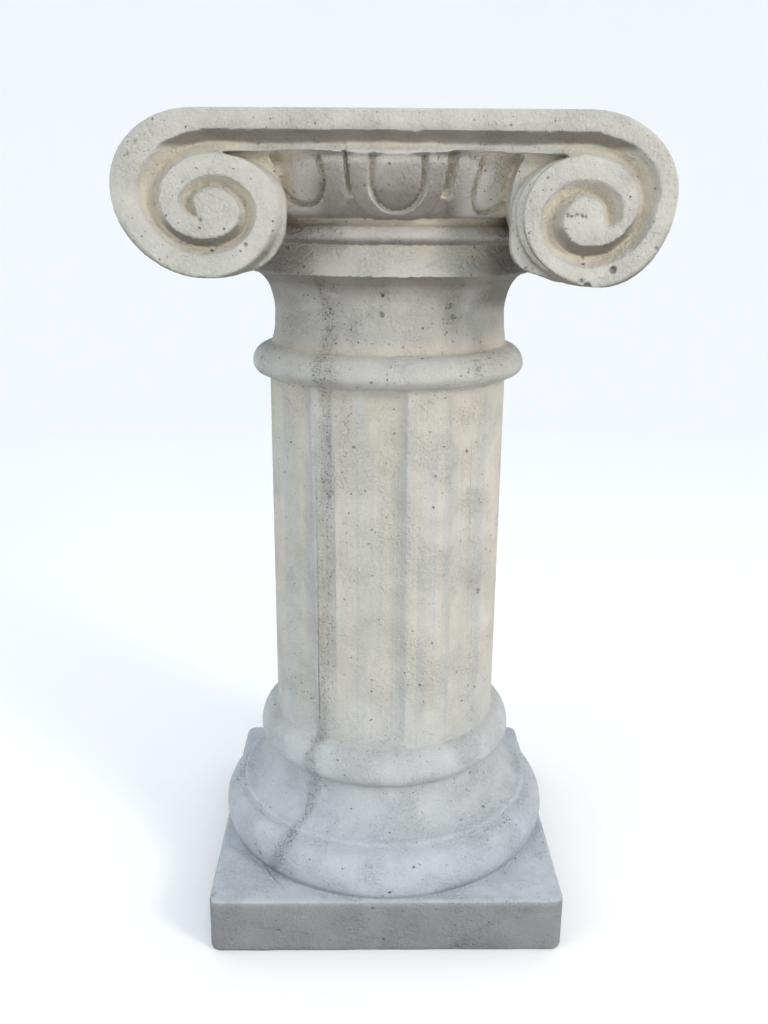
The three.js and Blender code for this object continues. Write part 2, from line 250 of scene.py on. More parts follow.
def flutesDistance(x, y, z):
    # distance to the nearest flute's round cutter
    share = np.clip((z - shaft["foot"]) / (shaft["head"] - shaft["foot"]), 0, 1)
    edges = []
    for top, foot in shaft["frontFlutes"]:
        edges.append([foot[i] + (top[i] - foot[i]) * share for i in (0, 1)])
    half = shaft["otherWidth"] / 2
    edges += [(middle - half, middle + half) for middle in shaft["otherFlutes"]]
    nearest = np.full(x.shape, 1e3)
    for left, right in edges:
        halfAngle = math.radians((right - left) / 2)
        middle = math.radians((right + left) / 2)
        halfChord = shaft["radius"] * math.sin(halfAngle)
        depth = shaft["depth"] - shaft["radius"] * (1 - math.cos(halfAngle))
        cutter = (halfChord ** 2 + depth ** 2) / (2 * depth)
        away = shaft["radius"] - shaft["depth"] + cutter
        found = np.hypot(x - away * math.sin(middle), y + away * math.cos(middle)) - cutter
        nearest = np.minimum(nearest, found)
    return nearest


def shaftDistance(x, y, z, radius):
    cylinder = np.maximum(radius - shaft["radius"], max(shaft["foot"] - 6 - z, z - shaft["head"] - 4))
    deep = np.clip(shaft["radius"] - radius, 0, shaft["depth"])
    foot = (shaft["foot"] + shaft["footLedge"] + 0.7 * deep - z) * 0.82
    head = (z - shaft["head"] + shaft["headGap"] + 0.3 * deep) * 0.95
    cutter = np.maximum(flutesDistance(x, y, z), np.maximum(foot, head))
    return np.maximum(cylinder, -cutter)


# Egg band: places are degrees from the front, widths are measured on a drum of the unrolled radius
echinus = {
    "foot": 626,
    "top": 673.5,
    "footRadius": 118,
    "topRadius": 149,
    "full": 665,
    "fullness": 0.5,
    "edge": 1.2,
    "unrolled": 140,
    "groove": 4.4,
    "grooveSide": 2.6,
    "depth": 7.2,
    "gapDepth": 9.5,
    "dartSunk": 4.6,
    "dartSlope": 0.8,
    "dartHead": (640, 646),
    "filletFoot": 670,
    "filletCarving": 0.35,  # share of the carving that is left in the fillet over the eggs
    "pillow": 4.0,
    "pillowReach": 13,
    "shellEdge": 1.0,
    "shellReach": 3,
    "eggRound": 0.93,
    "drawIn": (1.8, 650, 22),  # eggs draw in towards the top: how much, from what height, over what rise
    "eggs": [
        {"at": -28.5, "eggHalf": 19.2, "eggFoot": 638.0, "shellHalf": 37.6, "shellFoot": 629.8, "corner": 13},
        {"at": 2.5, "eggHalf": 17.6, "eggFoot": 633.4, "shellHalf": 34.9, "shellFoot": 625.6, "corner": 22},
        {"at": 35.3, "eggHalf": 19.0, "eggFoot": 633.6, "shellHalf": 38.4, "shellFoot": 627.4, "corner": 13},
    ],
    "darts": [{"at": -12.2, "tip": 629.0, "half": 8.5}, {"at": 16.2, "tip": 626.3, "half": 9.5}],
}


def cup(across, z, half, foot, corner):
    # distance to a U that is open at the top
    side = np.abs(across) - half + corner
    below = foot + corner - z + 0 * across
    outside = np.hypot(np.maximum(side, 0), np.maximum(below, 0))
    return outside + np.minimum(np.maximum(side, below), 0) - corner


def eggCarving(x, y, z):
    # how far the egg band's surface lies behind its plain swell
    e = echinus
    angle = np.degrees(np.arctan2(x, np.abs(y)))
    outOfShells = np.full(x.shape, 1e3)
    carved = np.zeros(x.shape)
    fillet = 1 - ramp(z, e["filletFoot"] - 1.5, e["filletFoot"] + 0.5)
    kept = e["filletCarving"] + (1 - e["filletCarving"]) * fillet
    amount, start, rise = e["drawIn"]
    narrowing = amount * np.clip((z - start) / rise, 0, 1) ** 1.5
    for egg in e["eggs"]:
        across = np.radians(angle - egg["at"]) * e["unrolled"]
        shell = cup(across, z, egg["shellHalf"], egg["shellFoot"], egg["corner"])
        body = cup(across, z, egg["eggHalf"] - narrowing, egg["eggFoot"], egg["eggHalf"] * e["eggRound"])
        fromMiddle = 1 - np.clip(-body / e["pillowReach"], 0, 1)
        pillow = e["pillow"] * (1 - np.sqrt(np.clip(1 - fromMiddle ** 2, 0, 1)))
        ring = ramp(body, -0.5, 0.6) * (1 - ramp(body, e["groove"] - e["grooveSide"], e["groove"]))
        rounded = e["shellEdge"] * (1 - ramp(-shell, 0, e["shellReach"]))
        here = np.where(body < 0, pillow, rounded) * kept
        here = np.maximum(here, ring * e["depth"] * fillet)
        carved = np.where(shell < 0, here, carved)
        outOfShells = np.minimum(outOfShells, shell)
    gap = ramp(outOfShells, -0.2, 1.0)
    low = np.full(x.shape, 1e3)
    for dart in e["darts"]:
        across = np.abs(np.radians(angle - dart["at"]) * e["unrolled"])
        low = np.minimum(low, np.maximum(dart["tip"] + across * e["dartSlope"] - z, across - dart["half"]))
    inDart = (1 - ramp(low, -1.2, 0.6)) * (1 - ramp(z, *e["dartHead"]))
    sunk = e["gapDepth"] - (e["gapDepth"] - e["dartSunk"]) * inDart
    return carved * (1 - gap) + sunk * gap


def echinusDistance(x, y, z, radius):
    e = echinus
    share = min(max((e["full"] - z) / (e["full"] - e["foot"]), 0), 1)
    swell = e["fullness"] * math.sqrt(1 - share * share) + (1 - e["fullness"]) * (1 - share)
    surface = e["footRadius"] + (e["topRadius"] - e["footRadius"]) * swell
    slope = 0.83 if z < e["full"] - 8 else 0.95
    face = (radius - surface + eggCarving(x, y, z)) * slope
    return roundMax(face, max(z - e["top"], e["foot"] - z) + 0 * face, e["edge"])


# Scrolled upper part of the capital. Volutes are drawn inward from their outer edge and down from the top,
# through turning points (top, outside, bottom, inside and so on) on quarter ellipses.
capital = {
    "top": 700,
    "slabFoot": 684.6,
    "lipFoot": 672.0,
    "face": 157,
    "plate": 24,
    "edge": 1.6,
    "outerEdge": 5.5,  # the volutes' outer sides are worn rounder
    "outerFrom": (150, 182),
    "backEdge": 2,
    "channelDepth": 10.8,
    "channelRound": 9.0,
    "straight": (85, 112),  # where the straight part ends and the volutes' channels begin
    "overlap": 40,  # the two volutes' channels run past each other in the middle
    "straightDeeper": 2.0,  # between the volutes the channel is a deeper scoop
    "straightRounder": 2.5,
    "edgeWobble": 0.9,
    "wobbles": [(17, 1.0, 51), (6.5, 0.8, 52)],  # wavelength, share, seed
    "overEggs": 6.5,  # how softly the channel's foot runs into the egg band
    "coveFoot": 666.7,
    "turnOut": 112,
    # the volutes' inner sides step back: share of the flange, then set-back at the left and at the right
    "steps": [(0.25, 1.2, 4.0), (0.5, 3.4, 4.2), (0.62, 5.2, 4.4), (0.8, 7.2, 9.2), (1, 9.4, 9.6)],
    "stepEdge": 1.4,
    "bolsterEnd": 57,
    "bolsterReach": 137,
    "bolsterWaist": 45,
    "bolsterFlare": 95,
    "bolsterBand": 17,
    "bolsterBandRise": 2.5,
}
leftVolute = {
    "side": -1,
    "edge": 199.1,
    "rim": [(61, 0), (0, 54), (68.4, 116.8), (119.8, 65), (77, 30.6)],
    "flange": 5.2,
    "middle": 62.5,
    "heel": [(80, 70), (124.8, 64), (124.8, 74), (123.6, 84), (120.9, 92.5), (117, 99.2), (112.4, 104.2),
             (107, 108.2), (101, 111), (92, 113.2), (82, 114)],
    "outer": [(77.6, 15.4), (20, 56.3), (67, 100.3), (104.4, 72.5), (76, 45.5), (50, 63), (68, 75)],
    "inner": [(77, 30.6), (35.4, 60), (67.4, 89.9), (92.4, 70.6), (73.9, 54.5), (60.1, 62.7), (68, 75)],
}
rightVolute = {
    "side": 1,
    "edge": 205.7,
    "rim": [(66.5, 0), (0, 55.3), (51.8, 121), (110.2, 71.1), (70.7, 30.6)],
    "flange": 8.0,
    "middle": 60.5,
    "heel": [(70, 72), (117, 70), (118.2, 80), (118, 90), (116.6, 98), (113.6, 104), (109, 108.6),
             (103, 111.6), (95, 113.8), (83, 118), (66, 119)],
    "outer": [(71, 15.4), (14.3, 53.4), (60.7, 107.2), (97.7, 75.7), (68, 46), (39, 68), (49.5, 78.5)],
    "inner": [(70.7, 30.6), (29, 60.2), (60.2, 92.6), (82, 75.6), (67, 59.2), (52.5, 70.6), (49.5, 78.5)],
}


def volutePoints(volute, spots):
    return [(volute["side"] * (volute["edge"] - inward), capital["top"] - down) for inward, down in spots]


def voluteTurns(volute, turns, steps=12):
    spots = volutePoints(volute, turns)
    points = [spots[0]]
    for i, ((ax, az), (bx, bz)) in enumerate(zip(spots, spots[1:])):
        for k in range(1, steps + 1):
            angle = math.pi / 2 * k / steps
            rise, fade = math.sin(angle), 1 - math.cos(angle)
            across, along = (rise, fade) if i % 2 == 0 else (fade, rise)
            points.append((ax + (bx - ax) * across, az + (bz - az) * along))
    return points


def capitalOutline(reach=0):
    # front outline; the volutes' inner sides stand further in by a share of their flange's width
    halves = []
    for volute in (leftVolute, rightVolute):
        rim = list(volute["rim"])
        rim[2] = (rim[2][0] + volute["flange"] * reach * 0.9, rim[2][1])
        rim[3] = (rim[3][0] + volute["flange"] * reach, rim[3][1])
        foot = (volute["side"] * capital["turnOut"], capital["lipFoot"] - 1.2)
        halves.append(voluteTurns(volute, rim) + [foot, (volute["side"] * 60, capital["lipFoot"])])
    return halves[0] + halves[1][::-1]


def channelOutline(volute):
    side = volute["side"]
    start = [(-side * capital["overlap"], capital["slabFoot"]), (side * 100, capital["slabFoot"])]
    end = [(side * 100, capital["coveFoot"]), (-side * capital["overlap"], capital["coveFoot"])]
    outer = voluteTurns(volute, volute["outer"])
    inner = voluteTurns(volute, volute["inner"])
    return start + outer + inner[::-1] + end


def capitalTables(xs, zs):
    # everything in the capital that depends on the front view alone, for each height
    x, z = xs[None, :], zs[:, None]
    rim = outlineDistance(capitalOutline(), x, z)
    flanges = [outlineDistance(capitalOutline(step[0]), x, z) for step in capital["steps"]]
    inside = np.full(rim.shape, 0.0)
    for volute in (leftVolute, rightVolute):
        inside = np.maximum(inside, -outlineDistance(channelOutline(volute), x, z))
        heel = volutePoints(volute, volute["heel"])
        flanges[-1] = np.minimum(flanges[-1], outlineDistance(heel, x, z))
    spots = np.stack([(x + 0 * z).ravel(), (0 * x + z).ravel(), np.full(inside.size, 7.0)], 1)
    wobble = sum(share * softNoise(spots, wavelength, seed) for wavelength, share, seed in capital["wobbles"])
    inside = np.where(inside > 0, inside + capital["edgeWobble"] * wobble.reshape(inside.shape), 0)
    straight = 1 - ramp(np.abs(x), *capital["straight"]) + 0 * z
    share = np.clip(inside / (capital["channelRound"] + capital["straightRounder"] * straight), 0, 1)
    sunk = (capital["channelDepth"] + capital["straightDeeper"] * straight) * (1 - (1 - share) ** 2) ** 0.8
    bolsters = []
    for volute in (leftVolute, rightVolute):
        middleX = volute["side"] * (volute["edge"] - volute["middle"])
        middleZ = capital["top"] - volute["rim"][2][1] / 2
        bolsters.append(np.hypot(x - middleX, z - middleZ))
    return {"rim": rim, "flanges": flanges, "sunk": sunk, "bolsters": bolsters}


def bolsterRadius(y):
    c = capital
    away = np.abs(y)
    share = np.clip((away - c["bolsterBand"]) / (c["bolsterFlare"] - c["bolsterBand"]), 0, 1)
    radius = c["bolsterWaist"] + (c["bolsterEnd"] - c["bolsterWaist"]) * share ** 1.6
    return radius + c["bolsterBandRise"] * (1 - ramp(away, c["bolsterBand"] - 1.5, c["bolsterBand"] + 0.5))


def capitalDistance(tables, level, x, y, z):
    c = capital
    away = np.abs(y)
    back = c["face"] - c["plate"] - away
    face = away - c["face"] + tables["sunk"][level][None, :]
    rim = tables["rim"][level][None, :] + 0 * y
    edge = c["edge"] + (c["outerEdge"] - c["edge"]) * ramp(np.abs(x), *c["outerFrom"])
    plate = np.maximum(roundMax(rim, away - c["face"], edge), face * 0.85)
    plate = roundMax(plate, back, c["backEdge"])
    for flange, (_, atLeft, atRight) in zip(tables["flanges"], c["steps"]):
        setBack = np.where(x < 0, atLeft, atRight)
        step = roundMax(flange[level][None, :] + 0 * y, away - c["face"] + setBack, c["stepEdge"])
        plate = np.minimum(plate, roundMax(np.maximum(step, face * 0.85), back, c["backEdge"]))
    left = -(leftVolute["edge"] - leftVolute["rim"][0][0])
    right = rightVolute["edge"] - rightVolute["rim"][0][0]
    slabSide = np.maximum(left - x, x - right)
    bedFoot = c["lipFoot"] - z if abs(z - c["top"]) < 60 else 60
    slab = np.maximum(slabSide, away - c["face"] + c["plate"] / 2)
    slab = np.maximum(slab, max(z - c["top"], bedFoot) + 0 * y)
    whole = np.minimum(plate, slab)
    reach = away - c["bolsterReach"]
    for distance in tables["bolsters"]:
        bolster = np.maximum(distance[level][None, :] - bolsterRadius(y), reach)
        whole = blend(whole, bolster, 3)
    return whole


# Larger air holes and chips, each on the front: x, height, how far the centre lies behind the face, radius
holes = {
    "face": [
        (161.9, 591.6, 0.8, 2.3), (143.8, 579.8, 1.4, 3.0), (191.9, 606.9, 0.2, 1.5), (141, 600.2, 9.5, 1.5),
        (141.3, 595, 8.0, 1.3), (139.5, 584, 0.3, 1.4), (126.9, 629.3, 0.0, 1.5), (130, 628.6, 0.2, 1.1),
        (133.4, 629.6, 0.2, 1.1), (137, 629.2, 0.1, 1.2), (139.7, 628.2, 0.1, 1.2), (129.5, 613, 0.2, 1.0),
        (-102.8, 607.3, 0.2, 1.5), (-134.6, 624.2, 0.2, 1.4), (-128.7, 606, 1.5, 1.6),
        (-128.4, 602.5, 7.5, 1.3), (-121, 648, 0.2, 1.0),
        (-146, 650, 0.2, 1.0), (-178, 676, 0.2, 1.2), (-184, 668, 0.2, 1.4),
        (84, 689, 0.2, 1.0), (-52, 689, 0.2, 1.1), (170, 668, 0.3, 1.2), (186, 640, 0.2, 1.1),
    ],
    "plinthFront": [
        (66, 3, 1.0, 3.0), (73, 4, 0.6, 2.6), (60, 2, 0.8, 2.2), (-9, 45, 0.3, 1.7), (-92, 22, 0.2, 1.3),
    ],
    # on the turned parts: degrees from the front, height, radius there, hole radius
    "turned": [
        (-2.6, 569, 103, 1.5), (-3, 553.5, 101, 1.8), (38, 512, 119, 1.8), (-46, 66, 157.5, 2.0),
        (2, 62, 156, 1.4), (52, 308, 104.8, 2.3), (-28, 520, 112, 2.0), (-29, 540, 101, 2.0),
        (-27.5, 556, 101.5, 1.8), (31, 551, 101.2, 1.8), (29, 560, 102, 1.5), (-28, 451, 105.3, 1.6),
        (-27.5, 402, 105.3, 1.5), (-26.5, 332, 105.3, 1.4), (17, 233, 105.3, 1.3), (22, 395, 105.3, 1.2),
        (-21, 655, 146, 1.9), (-11, 640, 139, 1.7), (-25, 655, 148, 1.0), (5, 643, 141, 1.2),
    ],
}


def holeSpots():
    spots = []
    for x, z, behind, radius in holes["face"]:
        spots.append((x, -capital["face"] + behind, z, radius))
    for x, z, behind, radius in holes["plinthFront"]:
        spots.append((x, -plinth["half"] + behind - 1, z, radius))
    for angle, z, away, radius in holes["turned"]:
        turn = math.radians(angle)
        spots.append((away * math.sin(turn), -away * math.cos(turn), z, radius))
    return spots


def carveHoles(field, xs, ys, zs):
    for x, y, z, radius in holeSpots():
        reach = radius + 3
        ix = np.nonzero(np.abs(xs - x) < reach)[0]
        iy = np.nonzero(np.abs(ys - y) < reach)[0]
        iz = np.nonzero(np.abs(zs - z) < reach)[0]
        if not (len(ix) and len(iy) and len(iz)):
            continue
        box = np.ix_(ix, iy, iz)
        distance = np.sqrt((xs[box[0]] - x) ** 2 + (ys[box[1]] - y) ** 2 + (zs[box[2]] - z) ** 2) - radius
        field[box] = np.maximum(field[box], -distance)


def turnedTable(outline, radii, zs):
    return outlineDistance(outline, radii[None, :], zs[:, None])


def castingField():
    step, margin = casting["grid"], casting["margin"]
    low = np.array(cadLow) / mm - margin
    high = np.array(cadHigh) / mm + margin
    xs, ys, zs = [np.arange(low[i], high[i] + step, step) for i in range(3)]
    x, y = np.meshgrid(xs, ys, indexing="ij")
    radius = np.hypot(x, y)
    radii = np.arange(0, radius.max() + 2, 0.75)
    base = turnedTable(baseOutline(), radii, zs)
    neck = turnedTable(neckOutline(), radii, zs)
    tables = capitalTables(xs, zs)
    field = np.empty((len(xs), len(ys), len(zs)), np.float32)
    flat = radius.ravel()
    for level, z in enumerate(zs):
        parts = [np.full(radius.shape, 50.0)]
        if z < plinth["height"] + 12:
            parts.append(plinthDistance(x, y, z))
        if z < mouldings["upperTorusTop"] + 12:
            parts.append(np.interp(flat, radii, base[level]).reshape(radius.shape))
        if shaft["foot"] - 14 < z < shaft["head"] + 14:
            parts.append(shaftDistance(x, y, z, radius))
        if mouldings["astragalFoot"] - 14 < z < mouldings["beadTop"] + 14:
            shifted = np.hypot(x - mouldings["neckShift"] * ramp(z, 515, 535), y)
            parts.append(np.interp(shifted.ravel(), radii, neck[level]).reshape(radius.shape))
        if echinus["foot"] - 8 < z < echinus["top"] + 8:
            parts.append(echinusDistance(x, y, z, radius))
        whole = parts[0]
        for part in parts[1:]:
            whole = blend(whole, part, casting["crease"])
        if z > 565:
            soft = capital["overEggs"] if z > 655 else casting["crease"]
            whole = blend(whole, capitalDistance(tables, level, x.T, y.T, z).T, soft)
        field[:, :, level] = whole
    carveHoles(field, xs, ys, zs)
    return field, low, step


def meshFromField(field, low, step):
    grid = vdb.FloatGrid(background=3.0)
    grid.copyFromArray(np.clip(field, -3, 3))
    points, quads = grid.convertToQuads(0.0)
    points = points * step + low
    return points, quads


def buildMesh(name, points, quads):
    mesh = bpy.data.meshes.new(name)
    mesh.vertices.add(len(points))
    mesh.vertices.foreach_set("co", (points * mm).astype(np.float32).ravel())
    mesh.loops.add(len(quads) * 4)
    mesh.loops.foreach_set("vertex_index", quads.astype(np.int32).ravel())
    mesh.polygons.add(len(quads))
    mesh.polygons.foreach_set("loop_start", np.arange(0, len(quads) * 4, 4, dtype=np.int32))
    mesh.update(calc_edges=True)
    return mesh


def facesPointOut(points, quads):
    a, b, c, d = (points[quads[:, i]] for i in range(4))
    return float(np.einsum("ij,ij->i", a, np.cross(b, c) + np.cross(c, d)).sum()) > 0


def meshPoints(mesh):
    flat = np.zeros(len(mesh.vertices) * 3, np.float32)
    mesh.vertices.foreach_get("co", flat)
    return flat.reshape(-1, 3).astype(float) / mm


def meshNormals(mesh):
    flat = np.zeros(len(mesh.vertices) * 3, np.float32)
    mesh.vertex_normals.foreach_get("vector", flat)
    return flat.reshape(-1, 3).astype(float)


# Mould seam: it runs down the front left side, degrees from the front at each height
seam = {
    "path": [(563, -29.7), (536, -28.2), (511, -27.8), (484, -28.4), (346, -26.4), (262, -27.4), (171, -33.2),
             (161, -33.6), (122, -34.1), (107, -34.1), (91, -35.5), (83, -35.5), (55, -41)],
    "width": 4.6,
    "wander": (2.5, 14, 31),  # how far it strays, wavelength, seed
    "roughness": 1.2,
    "lowEnd": (50, 58),
    "highEnd": (575, 588),
    # other rough spots: degrees from the front, height, half the width and half the height
    "patches": [(30, 555, 8, 24), (38, 508, 6, 9), (-38, 614, 9, 7), (48.5, 614, 9, 7), (-26, 556, 12, 24),
                (-15, 541, 9, 8), (-24, 508, 12, 12), (-18.5, 470, 5, 24), (-35, 597, 8, 8), (34, 597, 9, 9)],
    # and on the plinth's front: x, height, half the width and half the height
    "plinthMarks": [(70, 10, 17, 8)],
}


def seamStrength(points):
    path = sorted(seam["path"])
    heights = [z for z, _ in path]
    angles = [a for _, a in path]
    x, y, z = points.T
    along = np.interp(z, heights, angles)
    away = np.degrees(np.arctan2(x, -y)) - along
    away = (away + 180) % 360 - 180
    across = np.abs(np.radians(away)) * np.hypot(x, y)
    stray, wavelength, seed = seam["wander"]
    across = across + stray * softNoise(points, wavelength, seed)
    strength = np.clip(1.5 - np.abs(across) / seam["width"], 0, 1)
    inRange = ramp(z, *seam["lowEnd"]) * (1 - ramp(z, *seam["highEnd"]))
    # over the plinth's top the seam runs out to the front left corner
    toCorner = np.abs(x - y) / math.sqrt(2)
    onPlinth = (z < 56) & (x < 0) & (y < 0) & (np.hypot(x, y) > 150)
    corner = np.clip(1 - toCorner / seam["width"], 0, 1) * onPlinth * ramp(z, 20, 40)
    strength = np.maximum(strength * inRange, corner * 0.8)
    for angle, height, wide, tall in seam["patches"]:
        across = np.radians(np.degrees(np.arctan2(x, -y)) - angle) * np.hypot(x, y) / wide
        near = np.clip(1.3 - np.hypot(across, (z - height) / tall), 0, 1) * (np.hypot(x, y) < 125)
        strength = np.maximum(strength, 0.8 * near)
    for middle, height, wide, tall in seam["plinthMarks"]:
        near = np.clip(1.3 - np.hypot((x - middle) / wide, (z - height) / tall), 0, 1) * (y < -150)
        strength = np.maximum(strength, near)
    return strength


def holeStrength(points):
    strength = np.zeros(len(points))
    for x, y, z, radius in holeSpots():
        away = np.linalg.norm(points - (x, y, z), axis=1)
        strength = np.maximum(strength, np.clip(1.6 - away / radius, 0, 1))
    return strength


# Uneven hand-finished surface: waves of the skin, sandy crumbs and worn edges
skin = {
    "waves": [(70, 0.35, 11), (28, 0.22, 12), (12, 0.16, 13), (6, 0.10, 14)],
    "seamLumps": [(5, 1.0, 21), (3.2, 0.6, 22)],  # wavelength, share, seed
    "crumbs": (0.30, 4, 23),  # height, wavelength, seed
    "settle": 0.35,  # everything lies this much inside the solid's form
}


def roughen(mesh):
    points, normals = meshPoints(mesh), meshNormals(mesh)
    shift = np.zeros(len(points))
    for wavelength, height, seed in skin["waves"]:
        shift += height * softNoise(points, wavelength, seed)
    strength = seamStrength(points)
    rough = sum(share * softNoise(points, wavelength, seed) for wavelength, share, seed in skin["seamLumps"])
    shift += strength * seam["roughness"] * (rough * 0.55 - 0.35)
    height, wavelength, seed = skin["crumbs"]
    crumbs = np.maximum(softNoise(points, wavelength, seed), 0) ** 2
    under = np.clip(-normals[:, 2], 0, 1)
    shift += height * crumbs * (0.5 + under)
    moved = points + normals * (shift - skin["settle"])[:, None]
    lowest, highest = np.array(cadLow) / mm, np.array(cadHigh) / mm
    moved = np.clip(moved, lowest, highest)
    flatFoot = points[:, 2] < 0.8
    moved[flatFoot, 2] = 0
    mesh.vertices.foreach_set("co", (moved * mm).astype(np.float32).ravel())
    mesh.update()


# Hollowness at each point: how much stone stands round about, from the blurred field
def hollowness(field, low, step, points, reach):
    solid = (field < 0).astype(np.float32)
    width = max(1, round(reach / step))
    for axis in range(3):
        size = solid.shape[axis]
        ahead = np.minimum(np.arange(size) + width + 1, size)
        behind = np.maximum(np.arange(size) - width, 0)
        for _ in range(2):
            total = np.cumsum(solid, axis=axis, dtype=np.float32)
            total = np.concatenate([np.zeros_like(np.take(total, [0], axis)), total], axis)
            solid = (np.take(total, ahead, axis) - np.take(total, behind, axis)) / (2 * width + 1)
    place = (points - low) / step
    corner = np.clip(np.floor(place).astype(int), 0, np.array(field.shape) - 1)
    return np.clip(solid[corner[:, 0], corner[:, 1], corner[:, 2]], 0, 1)


def addAttribute(mesh, name, values):
    attribute = mesh.attributes.new(name, "FLOAT", "POINT")
    attribute.data.foreach_set("value", values.astype(np.float32))


def makeCasting():
    field, low, step = castingField()
    print("casting field", field.shape)
    points, quads = meshFromField(field, low, step)
    if not facesPointOut(points, quads):
        quads = quads[:, ::-1]
    mesh = buildMesh("pedestal", points, quads)
    piece = bpy.data.objects.new("pedestal", mesh)
    bpy.context.scene.collection.objects.link(piece)
    print("casting meshed,", len(quads), "quads")
    thin = piece.modifiers.new("thin", "DECIMATE")
    thin.ratio = min(1, casting["triangles"] / (len(quads) * 2))
    fine = (points[:, 2] > 575) & (points[:, 1] < -95)
    group = piece.vertex_groups.new(name="fine")
    group.add(np.nonzero(fine)[0].tolist(), casting["fineWeight"], "REPLACE")
    group.add(np.nonzero(~fine)[0].tolist(), 1.0, "REPLACE")
    thin.vertex_group = "fine"
    thin.vertex_group_factor = casting["fineFactor"]
    thinned = bpy.data.meshes.new_from_object(piece.evaluated_get(bpy.context.evaluated_depsgraph_get()))
    piece.modifiers.clear()
    piece.data = thinned
    thinned.polygons.foreach_set("use_smooth", np.ones(len(thinned.polygons), bool))
    roughen(thinned)
    final = meshPoints(thinned)
    addAttribute(thinned, "hollow", hollowness(field, low, step, final, 9))
    # how enclosed each point is; used to paint shade under the capital
    addAttribute(thinned, "shelter", hollowness(field, low, step, final, 34))
    addAttribute(thinned, "seam", seamStrength(final))
    addAttribute(thinned, "hole", holeStrength(final))
    thinned.set_sharp_from_angle(angle=math.radians(42))
    print("casting thinned,", len(thinned.polygons), "faces")
    return piece


# Pale sandy cement: cream in the hollows, greyer where it is rubbed, with air holes and fine grit
cement = {
    "raised": (0.475, 0.468, 0.437, 1),
    "hollow": (0.585, 0.528, 0.425, 1),
    # painted light: warm tints the upper part as warm lamp light would, low tints the foot blue as cool sky
    # light would
    "warm": (0.53, 0.495, 0.425, 1),
    "low": (0.450, 0.478, 0.515, 1),
    # colour of painted shade: under the capital, on the neck, under down-facing parts, on the plinth's sides
    # and in holes and pits
    "shadeColour": (0.12, 0.10, 0.08, 1),
    "roughness": 0.92,
    "shine": 0.25,
    "clouds": {"Scale": 9.0, "Detail": 4.0, "Roughness": 0.55},
    "blotches": {"Scale": 45.0, "Detail": 5.0, "Roughness": 0.6},
    "grit": {"Scale": 520.0, "Detail": 6.0, "Roughness": 0.68},
    "grains": {"Scale": 1500.0, "Detail": 2.0, "Roughness": 0.5},
    "crumbs": {"Scale": 260.0, "Detail": 3.0, "Roughness": 0.6},
    "patches": {"Scale": 26.0, "Detail": 2.0},
    "warp": {"Scale": 300.0, "Detail": 1.0},
    "shake": 0.0012,
    # dark dots, shade painted into the air holes: cells to the metre, size within the cell, share of the
    # cells that have one
    "airHoles": [(340.0, 0.20, 0.09), (170.0, 0.16, 0.12), (75.0, 0.105, 0.10)],
    "airHoleRim": 0.55,
    "seamPits": [(520.0, 0.34, 0.42), (260.0, 0.22, 0.35)],
    "seamPitRim": 0.5,
    "dotDark": 0.7,
    "holeDark": 0.85,
    # how strongly shade is painted into the colour in each place
    "shelterShade": 0.45,
    "neckRight": 0.72,
    "neckLeft": 0.48,
    "underLow": 0.10,
    "underHigh": 0.74,
    "plinthShade": 0.60,
    # parts of the fine relief
    "gritRise": 0.55,
    "grainRise": 0.22,
    "blotchRise": 0.5,
    "seamRise": 2.4,
    "dotDepth": 1.2,
    "reliefHeight": 0.0022,
}


class Nodes:
    # short ways to add and join shader nodes
    def __init__(self, material):
        material.use_nodes = True
        self.tree = material.node_tree
        self.tree.nodes.clear()

    def add(self, kind, inputs=None, **settings):
        node = self.tree.nodes.new(kind)
        for name, value in settings.items():
            setattr(node, name, value)
        for name, value in (inputs or {}).items():
            if isinstance(value, bpy.types.NodeSocket):
                self.tree.links.new(value, node.inputs[name])
            else:
                node.inputs[name].default_value = value
        return node

    def maths(self, operation, a, b=0.0, clamp=False):
        node = self.add("ShaderNodeMath", {0: a, 1: b}, operation=operation)
        node.use_clamp = clamp
        return node.outputs[0]

    def mix(self, share, a, b):
        node = self.add("ShaderNodeMix", {"Factor": share}, data_type="RGBA")
        for socket, value in ((node.inputs[6], a), (node.inputs[7], b)):
            if isinstance(value, bpy.types.NodeSocket):
                self.tree.links.new(value, socket)
            else:
                socket.default_value = value
        return node.outputs[2]

    def span(self, value, low, high, toLow=0.0, toHigh=1.0):
        node = self.add("ShaderNodeMapRange", {"Value": value, "From Min": low, "From Max": high,
                                               "To Min": toLow, "To Max": toHigh})
        return node.outputs[0]


def addDots(n, vector, dots, rim, where=1.0):
    total = 0.0
    for scale, size, share in dots:
        cells = n.add("ShaderNodeTexVoronoi", {"Vector": vector, "Scale": scale})
        chosen = n.add("ShaderNodeSeparateColor", {"Color": cells.outputs["Color"]}).outputs[0]
        picked = n.maths("LESS_THAN", chosen, n.maths("MULTIPLY", where, share))
        dot = n.span(cells.outputs["Distance"], size, size * rim)
        total = n.maths("MAXIMUM", total, n.maths("MULTIPLY", dot, picked))
    return total
